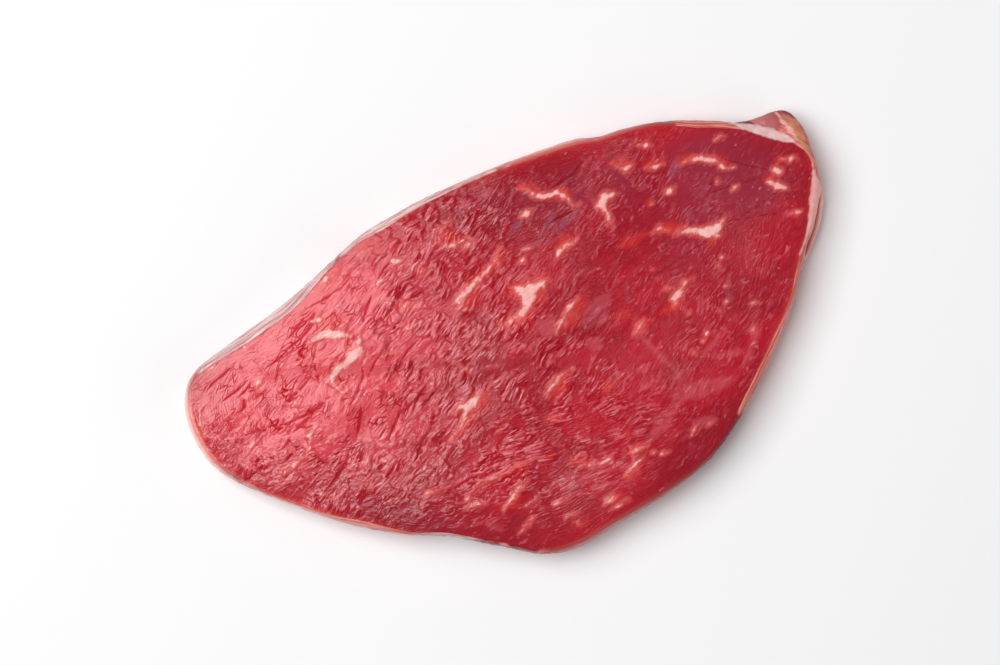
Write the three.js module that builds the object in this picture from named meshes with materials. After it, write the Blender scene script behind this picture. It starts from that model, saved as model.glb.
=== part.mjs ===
// A raw beef steak, laid flat: one slab cut across a large muscle, with a thin rim of fat and silver
// skin round its side. At its right-hand end a small side muscle clings to the slab: a raised lobe on
// the corner and a low strip below it. All of it is one piece of meat, so it is one solid.
//
// Millimetres. X runs along the steak, Y across it and Z up. The origin is on the surface that the
// steak lies on, at the middle of its length and width.
import * as THREE from "three";

// Thickness of the slab: full at the right, and tapering to the left-hand tip.
const THICKNESS = 21;
const TIP_DROP = 6; // how much thinner the tip is
const TIP_X = -148;
const FULL_THICKNESS_X = -62;

// The side sags outwards: it is widest at this share of its height, and goes in again below.
const WIDEST_AT = 0.36;
const UNDERCUT = 3.4; // how far the underside lies inside the widest line
const SQUARENESS = 2.4; // of the side's profile: 2 is an oval, more is boxier
const EDGE_DROP = 1.7; // the cut face falls by this much on its way to the rim
const EDGE_FADE = 7; // over about this distance

// The slab's outline at its widest, anticlockwise from the right-hand end. Each row is X, Y, how far
// inside that line the rim of the cut face lies, and how far the side muscle stands out beyond it.
const OUTLINE = [
  [142.8, 24, 3.4, 0], [143.1, 30, 3, 0.5], [141.4, 36, 3.6, 3], [137.8, 41, 4, 7.4],
  [133.5, 44.8, 4.4, 9.4], [129, 48.4, 4.4, 6.4], [123.8, 52.4, 4, 2.2], [118, 56, 3.6, 0],
  [105, 62.8, 4.2, 0], [90, 68.7, 2.4, 0], [76, 72, 2.2, 0], [64, 73.4, 2.2, 0],
  [53, 76.8, 3, 0], [32, 78.7, 2.8, 0], [8, 79.7, 2.6, 0], [-16, 79.5, 3.2, 0],
  [-34, 77.9, 4, 0], [-48, 75.4, 2.8, 0], [-63, 70.2, 2.6, 0], [-82, 64.4, 5.2, 0],
  [-104, 59.1, 5, 0], [-123, 55.2, 3.6, 0], [-134.5, 50.8, 3.2, 0], [-141.5, 41, 3.6, 0],
  [-143.8, 28, 3.8, 0], [-141.5, 14, 3.8, 0], [-134.5, 2.5, 3, 0], [-122.5, -10.4, 2.2, 0],
  [-106, -26.5, 2.4, 0], [-92, -37.8, 3.6, 0], [-77, -47.4, 2.2, 0], [-62, -54.6, 2.2, 0],
  [-44, -67.2, 2.6, 0], [-29, -77.5, 3.2, 0], [-14, -81.2, 3.8, 0], [4, -79, 3.4, 0],
  [28, -75.7, 3.2, 0], [47, -71.3, 3.2, 0], [63, -63.6, 3, 0], [78, -52.8, 3.8, 0],
  [95, -38.8, 4, 0], [109, -25, 2.6, 0], [118, -12.8, 2.4, 0.6], [124.5, -4.6, 2.4, 2.7],
  [131, 2.2, 2.6, 3], [137.2, 11, 4, 2.6], [141, 18, 4, 0.9],
];

// The side muscle's top, and the cleft between it and the slab.
const STRIP_HEIGHT = 11.5;
const STRIP_CLEFT = 3;
const LOBE_HEIGHT = 17.6;
const LOBE_CLEFT = 0.8;
const FLAP_HEIGHT = 13.5; // the lobe's thin left-hand end
const CLEFT_WIDTH = 1.3;
const FULL_REACH = 3.5; // where it stands out by this much, it has its full form

// Long shallow troughs in the cut face, and swells where the depth is negative.
const TROUGHS = [
  { from: [-112, -16], to: [-72, 3], depth: 1.1, half: 7 },
  { from: [-84, 47], to: [-128, 30], depth: -0.7, half: 11 },
  { from: [-46, -38], to: [8, -20], depth: 0.9, half: 8 },
  { from: [-40, 18], to: [2, 26], depth: 0.8, half: 6 },
  { from: [84, 44], to: [96, 8], depth: 0.9, half: 9 },
  { from: [36, -30], to: [74, -44], depth: -0.8, half: 10 },
  { from: [-24, 66], to: [46, 58], depth: -0.6, half: 9 },
];
// Slow waves of soft meat: their height, their lengths along X and Y, and where they start.
const WAVES = [
  { height: 0.55, along: 196, across: 290, start: 0.4 },
  { height: 0.45, along: 104, across: -82, start: 1.2 },
  { height: 0.3, along: 61, across: 150, start: 2.1 },
];

// How finely the form is drawn.
const COLUMNS = 60;
const ROWS = 34;
const RINGS = 12;
const SAMPLES = 4000; // round the outline

const { lerp: mix, smoothstep: smooth, clamp } = THREE.MathUtils;

const outline = new THREE.CatmullRomCurve3(
  OUTLINE.map(([x, y]) => new THREE.Vector3(x, y, 0)), true, "catmullrom", 0.5);
const insets = new THREE.CatmullRomCurve3(
  OUTLINE.map(([, , rim, reach]) => new THREE.Vector3(rim, reach, 0)), true, "catmullrom", 0.5);

// The side at a share 0 to 1 of the way round: its place, its outward direction and its two insets.
function sideAt(share) {
  const place = outline.getPoint(share);
  const along = outline.getTangent(share);
  const { x: rim, y: reach } = insets.getPoint(share);
  return { x: place.x, y: place.y, outX: along.y, outY: -along.x, rim, reach: Math.max(reach, 0) };
}

// The outline's middle, half its length and half its width.
const box = new THREE.Box2();
for (let k = 0; k < SAMPLES; k++) {
  const { x, y, outX, outY, reach } = sideAt(k / SAMPLES);
  box.expandByPoint(new THREE.Vector2(x + outX * reach, y + outY * reach));
}
const middle = box.getCenter(new THREE.Vector2());
const half = box.getSize(new THREE.Vector2()).divideScalar(2);

// The share of the way round at which the rim lies in a given direction from the middle, seen with
// the steak squeezed to a round one.
const rimDirections = [];
for (let k = 0; k <= SAMPLES; k++) {
  const { x, y, outX, outY, rim } = sideAt(k / SAMPLES);
  const direction = Math.atan2((y - outY * rim - middle.y) / half.y, (x - outX * rim - middle.x) / half.x);
  const before = rimDirections.at(-1) ?? direction;
  rimDirections.push(direction + 2 * Math.PI * Math.round((before - direction) / (2 * Math.PI)));
}
function shareTowards(direction) {
  const first = rimDirections[0];
  const wanted = first + THREE.MathUtils.euclideanModulo(direction - first, 2 * Math.PI);
  const next = Math.max(rimDirections.findIndex((value) => value >= wanted), 1);
  const [low, high] = [rimDirections[next - 1], rimDirections[next]];
  return (next - 1 + (wanted - low) / (high - low)) / SAMPLES;
}

function distanceToLine(x, y, [fromX, fromY], [toX, toY]) {
  const [dx, dy] = [toX - fromX, toY - fromY];
  const share = clamp(((x - fromX) * dx + (y - fromY) * dy) / (dx * dx + dy * dy), 0, 1);
  return Math.hypot(x - fromX - share * dx, y - fromY - share * dy);
}

// Height of the cut face at a distance from its rim.
function faceHeight(x, y, fromRim) {
  let height = THICKNESS - TIP_DROP * (1 - smooth(x, TIP_X, FULL_THICKNESS_X));
  for (const wave of WAVES)
    height += wave.height * Math.sin(2 * Math.PI * (x / wave.along + y / wave.across) + wave.start);
  for (const { from, to, depth, half: halfWidth } of TROUGHS)
    height -= depth * Math.exp(-((distanceToLine(x, y, from, to) / halfWidth) ** 2));
  return height - EDGE_DROP * Math.exp(-fromRim / EDGE_FADE);
}

// A quarter of a boxy oval, from its top (0) to its outermost point (1): how far out and how high.
function ovalQuarter(share) {
  const turn = (clamp(share, 0, 1) * Math.PI) / 2;
  const power = 2 / SQUARENESS;
  return [Math.sin(turn) ** power, Math.abs(Math.cos(turn)) ** power];
}

// The side's profile where there is only the slab: out from the rim to the widest line, and in below
// it. `down` goes from 0 at the rim to 1 at the underside.
function slabProfile(down, { rim, reach }, top) {
  const widestDown = 0.6;
  const widest = WIDEST_AT * top;
  if (down < widestDown) {
    const [out, up] = ovalQuarter(down / widestDown);
    return [mix(-rim, reach, out), mix(widest, top, up)];
  }
  const [low, within] = ovalQuarter((down - widestDown) / (1 - widestDown));
  return [reach - UNDERCUT * (1 - within), widest * (1 - low)];
}

// The profile with the side muscle: down the slab's side to the cleft, over the side muscle's
// shoulder, and in below it.
function sideMuscleProfile(down, { x, y, rim, reach }, top) {
  const [cleftDown, shoulderDown] = [0.38, 0.76];
  const lobe = smooth(y, 22, 37);
  const shelf = mix(STRIP_HEIGHT, mix(FLAP_HEIGHT, LOBE_HEIGHT, smooth(x, 121, 129)), lobe);
  const cleft = mix(STRIP_CLEFT, LOBE_CLEFT, lobe);
  const widest = shelf / 2;
  if (down < cleftDown) {
    const [out, up] = ovalQuarter(down / cleftDown);
    return [mix(-rim, 0, out), mix(shelf - cleft, top, up)];
  }
  if (down < shoulderDown) {
    const [out, up] = ovalQuarter((down - cleftDown) / (shoulderDown - cleftDown));
    const dip = cleft * Math.exp(-(((out * reach) / CLEFT_WIDTH) ** 2));
    return [out * reach, mix(widest, shelf, up) - dip];
  }
  const [low, within] = ovalQuarter((down - shoulderDown) / (1 - shoulderDown));
  return [reach - UNDERCUT * (1 - within), widest * (1 - low)];
}

const positions = [];
const triangles = [];
const add = (x, y, z) => positions.push(x - middle.x, y - middle.y, z) / 3 - 1;

// The cut face: a grid squeezed into the rim by way of a disc.
const discPoint = (row, column) => {
  const [a, b] = [(2 * column) / COLUMNS - 1, (2 * row) / ROWS - 1];
  return [a * Math.sqrt(1 - (b * b) / 2), b * Math.sqrt(1 - (a * a) / 2)];
};
const face = [];
for (let row = 0; row <= ROWS; row++) {
  face.push([]);
  for (let column = 0; column <= COLUMNS; column++) {
    const [discX, discY] = discPoint(row, column);
    const out = Math.min(Math.hypot(discX, discY), 1);
    const side = sideAt(shareTowards(Math.atan2(discY, discX)));
    const [rimX, rimY] = [side.x - side.outX * side.rim, side.y - side.outY * side.rim];
    const [x, y] = [mix(middle.x, rimX, out), mix(middle.y, rimY, out)];
    const fromRim = (rimX - x) * side.outX + (rimY - y) * side.outY;
    face[row].push(add(x, y, faceHeight(x, y, fromRim)));
  }
}
for (let row = 0; row < ROWS; row++)
  for (let column = 0; column < COLUMNS; column++) {
    const [a, b] = [face[row][column], face[row][column + 1]];
    const [c, d] = [face[row + 1][column + 1], face[row + 1][column]];
    // The diagonals point to the middle, so that no corner of the grid is flat along the rim.
    if (row < ROWS / 2 === column < COLUMNS / 2) triangles.push(a, b, c, a, c, d);
    else triangles.push(a, b, d, b, c, d);
  }

// The grid's border, anticlockwise from its lower left-hand corner.
const border = [];
for (let column = 0; column < COLUMNS; column++) border.push([0, column]);
for (let row = 0; row < ROWS; row++) border.push([row, COLUMNS]);
for (let column = COLUMNS; column > 0; column--) border.push([ROWS, column]);
for (let row = ROWS; row > 0; row--) border.push([row, 0]);

// The side, in rings from the rim down to the underside, and the flat underside.
const sides = border.map(([row, column]) => {
  const [discX, discY] = discPoint(row, column);
  return sideAt(shareTowards(Math.atan2(discY, discX)));
});
let above = border.map(([row, column]) => face[row][column]);
for (let ring = 1; ring <= RINGS; ring++) {
  const below = sides.map((side) => {
    const top = faceHeight(side.x - side.outX * side.rim, side.y - side.outY * side.rim, 0);
    const [plainOut, plainZ] = slabProfile(ring / RINGS, side, top);
    const [fullOut, fullZ] = sideMuscleProfile(ring / RINGS, side, top);
    const share = smooth(side.reach, 0, FULL_REACH);
    const out = mix(plainOut, fullOut, share);
    return add(side.x + side.outX * out, side.y + side.outY * out, mix(plainZ, fullZ, share));
  });
  below.forEach((low, k) => {
    const next = (k + 1) % below.length;
    triangles.push(above[k], low, below[next], above[k], below[next], above[next]);
  });
  above = below;
}
const underside = add(middle.x, middle.y, 0);
above.forEach((corner, k) => triangles.push(underside, above[(k + 1) % above.length], corner));

const geometry = new THREE.BufferGeometry();
geometry.setAttribute("position", new THREE.Float32BufferAttribute(positions, 3));
geometry.setIndex(triangles);
geometry.computeVertexNormals();

const rawBeef = new THREE.MeshStandardMaterial({ color: 0xb0283a, roughness: 0.35, metalness: 0 });
const steak = new THREE.Mesh(geometry, rawBeef);
steak.name = "steak";

const part = new THREE.Group();
part.add(steak);
export default part;
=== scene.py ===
# A raw beef steak on a pale table, seen from straight above under one large soft light.
from math import cos, pi, radians, sin

import bpy
import numpy as np
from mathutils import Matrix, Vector


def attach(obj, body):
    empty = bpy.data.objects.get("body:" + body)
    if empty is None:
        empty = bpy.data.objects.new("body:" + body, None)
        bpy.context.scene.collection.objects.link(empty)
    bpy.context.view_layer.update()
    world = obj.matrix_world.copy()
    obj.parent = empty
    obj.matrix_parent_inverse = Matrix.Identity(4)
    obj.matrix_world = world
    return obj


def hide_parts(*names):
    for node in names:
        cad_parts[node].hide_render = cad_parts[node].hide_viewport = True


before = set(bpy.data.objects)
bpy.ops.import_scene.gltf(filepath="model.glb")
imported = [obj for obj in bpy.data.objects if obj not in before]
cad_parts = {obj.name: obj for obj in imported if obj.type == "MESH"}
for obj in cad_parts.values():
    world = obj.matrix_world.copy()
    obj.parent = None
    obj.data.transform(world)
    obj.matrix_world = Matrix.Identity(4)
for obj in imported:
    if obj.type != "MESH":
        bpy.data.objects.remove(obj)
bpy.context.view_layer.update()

MM = 0.001


# The slab. One thick slice cut across a large muscle, with a rim of fat and silver skin round its
# side and a small side muscle clinging to its right-hand end. It sags a little, so its side bulges.
THICKNESS = 21
TIP_DROP = 6
TIP_X = -148
FULL_THICKNESS_X = -62
WIDEST_AT = 0.36
UNDERCUT = 3.4
SQUARENESS = 2.4
EDGE_DROP = 1.7
EDGE_FADE = 7

# Anticlockwise from the right-hand end: X, Y, how far inside this widest line the rim of the cut face
# lies, how far the side muscle stands out beyond it, and how much of the side there is covered with
# fat and with silver skin.
OUTLINE = np.array([
    (142.8, 24, 3.4, 0, 0.9, 0.1), (143.1, 30, 3, 0.5, 0.9, 0), (141.4, 36, 3.6, 3, 0.8, 0),
    (137.8, 41, 4, 7.4, 0.7, 0), (133.5, 44.8, 4.4, 9.4, 0.5, 0), (129, 48.4, 4.4, 6.4, 0.4, 0.2),
    (123.8, 52.4, 4, 2.2, 0.4, 0.3), (118, 56, 3.6, 0, 0.9, 0.3), (105, 62.8, 4.2, 0, 0.95, 0.2),
    (90, 68.7, 2.4, 0, 0.35, 0.2), (76, 72, 2.2, 0, 0.2, 0.3), (64, 73.4, 2.2, 0, 0.2, 0.4),
    (53, 76.8, 3, 0, 0.25, 0.3), (32, 78.7, 2.8, 0, 0.25, 0.4), (8, 79.7, 2.6, 0, 0.3, 0.7),
    (-16, 79.5, 3.2, 0, 0.5, 0.8), (-34, 77.9, 4, 0, 0.5, 0.8), (-48, 75.4, 2.8, 0, 0.5, 0.6),
    (-63, 70.2, 2.6, 0, 0.5, 0.6), (-82, 64.4, 5.2, 0, 0.5, 1), (-104, 59.1, 5, 0, 0.4, 1),
    (-123, 55.2, 3.6, 0, 0.3, 0.8), (-134.5, 50.8, 3.2, 0, 0.2, 0.3), (-141.5, 41, 3.6, 0, 0.2, 0.1),
    (-143.8, 28, 3.8, 0, 0.15, 0), (-141.5, 14, 3.8, 0, 0.15, 0), (-134.5, 2.5, 3, 0, 0.6, 0),
    (-122.5, -10.4, 2.2, 0, 0.7, 0.1), (-106, -26.5, 2.4, 0, 1, 0), (-92, -37.8, 3.6, 0, 1, 0.1),
    (-77, -47.4, 2.2, 0, 0.8, 0.4), (-62, -54.6, 2.2, 0, 0.3, 0.8), (-44, -67.2, 2.6, 0, 0.5, 0.3),
    (-29, -77.5, 3.2, 0, 0.5, 0.1), (-14, -81.2, 3.8, 0, 0.3, 0.1), (4, -79, 3.4, 0, 0.2, 0.1),
    (28, -75.7, 3.2, 0, 0.15, 0.1), (47, -71.3, 3.2, 0, 0.15, 0.1), (63, -63.6, 3, 0, 0.3, 0),
    (78, -52.8, 3.8, 0, 0.85, 0), (95, -38.8, 4, 0, 0.9, 0), (109, -25, 2.6, 0, 0.8, 0),
    (118, -12.8, 2.4, 0.6, 0.8, 0.1), (124.5, -4.6, 2.4, 2.7, 0.2, 0.3), (131, 2.2, 2.6, 3, 0.2, 0.3),
    (137.2, 11, 4, 2.6, 0.3, 0.2), (141, 18, 4, 0.9, 0.6, 0.1),
])

STRIP_HEIGHT = 11.5
STRIP_CLEFT = 3
LOBE_HEIGHT = 17.6
LOBE_CLEFT = 0.8
FLAP_HEIGHT = 13.5
CLEFT_WIDTH = 1.3
FULL_REACH = 3.5

# Troughs in the cut face: both ends, depth (negative for a swell) and half width.
TROUGHS = [
    ((-112, -16), (-72, 3), 1.1, 7), ((-84, 47), (-128, 30), -0.7, 11),
    ((-46, -38), (8, -20), 0.7, 8), ((-40, 18), (2, 26), 0.4, 6),
    ((84, 44), (96, 8), 0.9, 9), ((36, -30), (74, -44), -0.8, 10),
    ((-24, 66), (46, 58), -0.6, 9),
]
# Slow waves of soft meat: height, lengths along X and Y, and start.
WAVES = [(0.55, 196, 290, 0.4), (0.45, 104, -82, 1.2), (0.3, 61, 150, 2.1)]

COLUMNS = 350
ROWS = 196
RINGS = 26
SAMPLES = 8000


def smooth(value, low, high):
    share = np.clip((value - low) / (high - low), 0, 1)
    return share * share * (3 - 2 * share)


def mix(a, b, share):
    return a + (b - a) * share


# The rows of OUTLINE blended at shares 0 to 1 of the way round, and their rate of change.
def round_the_side(share):
    count = len(OUTLINE)
    place = np.asarray(share)[..., None] * count
    first = np.floor(place).astype(int)
    t = place - first
    a, b, c, d = (OUTLINE[(first[..., 0] + k) % count] for k in (-1, 0, 1, 2))
    lift, turn, bend = (c - a) / 2, a - 2.5 * b + 2 * c - d / 2, (3 * b - a - 3 * c + d) / 2
    return b + t * (lift + t * (turn + t * bend)), lift + t * (2 * turn + 3 * t * bend)


def side_at(share):
    values, slopes = round_the_side(share)
    out = np.stack([slopes[..., 1], -slopes[..., 0]], -1)
    out /= np.linalg.norm(out, axis=-1, keepdims=True)
    return values[..., :2], out, values[..., 2], np.maximum(values[..., 3], 0), values[..., 4:]


way_round = np.linspace(0, 1, SAMPLES + 1)
widest, outwards, rim_inset, reach, _ = side_at(way_round)
corners = widest + outwards * reach[:, None]
middle = (corners.max(0) + corners.min(0)) / 2
half = (corners.max(0) - corners.min(0)) / 2
towards_rim = (widest - outwards * rim_inset[:, None] - middle) / half
rim_directions = np.unwrap(np.arctan2(towards_rim[:, 1], towards_rim[:, 0]))


def distance_to_line(x, y, start, end):
    dx, dy = end[0] - start[0], end[1] - start[1]
    share = np.clip(((x - start[0]) * dx + (y - start[1]) * dy) / (dx * dx + dy * dy), 0, 1)
    return np.hypot(x - start[0] - share * dx, y - start[1] - share * dy), share


def face_height(x, y, from_rim):
    height = THICKNESS - TIP_DROP * (1 - smooth(x, TIP_X, FULL_THICKNESS_X))
    for size, along, across, start in WAVES:
        height = height + size * np.sin(2 * pi * (x / along + y / across) + start)
    for start, end, depth, half_width in TROUGHS:
        height -= depth * np.exp(-(distance_to_line(x, y, start, end)[0] / half_width) ** 2)
    return height - EDGE_DROP * np.exp(-from_rim / EDGE_FADE)


def oval_quarter(share):
    turn = np.clip(share, 0, 1) * pi / 2
    return np.sin(turn) ** (2 / SQUARENESS), np.abs(np.cos(turn)) ** (2 / SQUARENESS)


# How far out of the widest line, and how high, the side is at a share 0 to 1 of the way down.
def slab_profile(down, rim, reach, top):
    if down < 0.6:
        out, up = oval_quarter(down / 0.6)
        return mix(-rim, reach, out), mix(WIDEST_AT * top, top, up)
    low, within = oval_quarter((down - 0.6) / 0.4)
    return reach - UNDERCUT * (1 - within), WIDEST_AT * top * (1 - low)


def side_muscle_profile(down, x, y, rim, reach, top):
    lobe = smooth(y, 22, 37)
    shelf = mix(STRIP_HEIGHT, mix(FLAP_HEIGHT, LOBE_HEIGHT, smooth(x, 121, 129)), lobe)
    cleft = mix(STRIP_CLEFT, LOBE_CLEFT, lobe)
    if down < 0.38:
        out, up = oval_quarter(down / 0.38)
        return mix(-rim, 0, out), mix(shelf - cleft, top, up)
    if down < 0.76:
        out, up = oval_quarter((down - 0.38) / 0.38)
        return out * reach, mix(shelf / 2, shelf, up) - cleft * np.exp(-(out * reach / CLEFT_WIDTH) ** 2)
    low, within = oval_quarter((down - 0.76) / 0.24)
    return reach - UNDERCUT * (1 - within), shelf / 2 * (1 - low)


# The cut face is a square grid squeezed into the rim by way of a disc.
column, row = np.meshgrid(np.linspace(-1, 1, COLUMNS + 1), np.linspace(-1, 1, ROWS + 1))
disc_x, disc_y = column * np.sqrt(1 - row ** 2 / 2), row * np.sqrt(1 - column ** 2 / 2)


def share_towards(direction):
    wanted = rim_directions[0] + (direction - rim_directions[0]) % (2 * pi)
    return np.interp(wanted, rim_directions, way_round)


place, out, rim, reach, _ = side_at(share_towards(np.arctan2(disc_y, disc_x)))
rim_place = place - out * rim[..., None]
spread = np.minimum(np.hypot(disc_x, disc_y), 1)[..., None]
face_place = mix(middle, rim_place, spread)
face_from_rim = ((rim_place - face_place) * out).sum(-1)
face_z = face_height(face_place[..., 0], face_place[..., 1], face_from_rim)

number = np.arange((ROWS + 1) * (COLUMNS + 1)).reshape(ROWS + 1, COLUMNS + 1)
border = np.concatenate([number[0, :-1], number[:-1, -1], number[-1, :0:-1], number[:0:-1, 0]])
border_direction = np.arctan2(disc_y, disc_x).ravel()[border]
place, out, rim, reach, finish = side_at(share_towards(border_direction))
rim_place = place - out * rim[:, None]
top = face_height(rim_place[:, 0], rim_place[:, 1], 0)

points = [np.column_stack([face_place.reshape(-1, 2), face_z.ravel()])]
from_rim = [face_from_rim.ravel()]
down_side = [np.zeros(face_z.size)]
covering = [np.zeros((face_z.size, 2))]
way = [share_towards(np.arctan2(disc_y, disc_x)).ravel()]
for ring in range(1, RINGS + 1):
    down = ring / RINGS
    full = smooth(reach, 0, FULL_REACH)
    plain_out, plain_z = slab_profile(down, rim, reach, top)
    muscle_out, muscle_z = side_muscle_profile(down, place[:, 0], place[:, 1], rim, reach, top)
    ring_place = place + out * mix(plain_out, muscle_out, full)[:, None]
    points.append(np.column_stack([ring_place, mix(plain_z, muscle_z, full)]))
    from_rim.append(-((ring_place - rim_place) * out).sum(-1))
    down_side.append(np.full(len(border), down))
    covering.append(finish)
    way.append(share_towards(border_direction))
points = np.concatenate(points)
from_rim, down_side = np.concatenate(from_rim), np.concatenate(down_side)
covering, way = np.concatenate(covering), np.concatenate(way)

face_quads = np.stack([number[:-1, :-1], number[:-1, 1:], number[1:, 1:], number[1:, :-1]], -1)
quads = [face_quads.reshape(-1, 4)]
above = border
for ring in range(RINGS):
    below = number.size + ring * len(border) + np.arange(len(border))
    quads.append(np.column_stack([above, below, np.roll(below, -1), np.roll(above, -1)]))
    above = below
faces = [tuple(quad) for quad in np.concatenate(quads).tolist()] + [tuple(above[::-1].tolist())]

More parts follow.
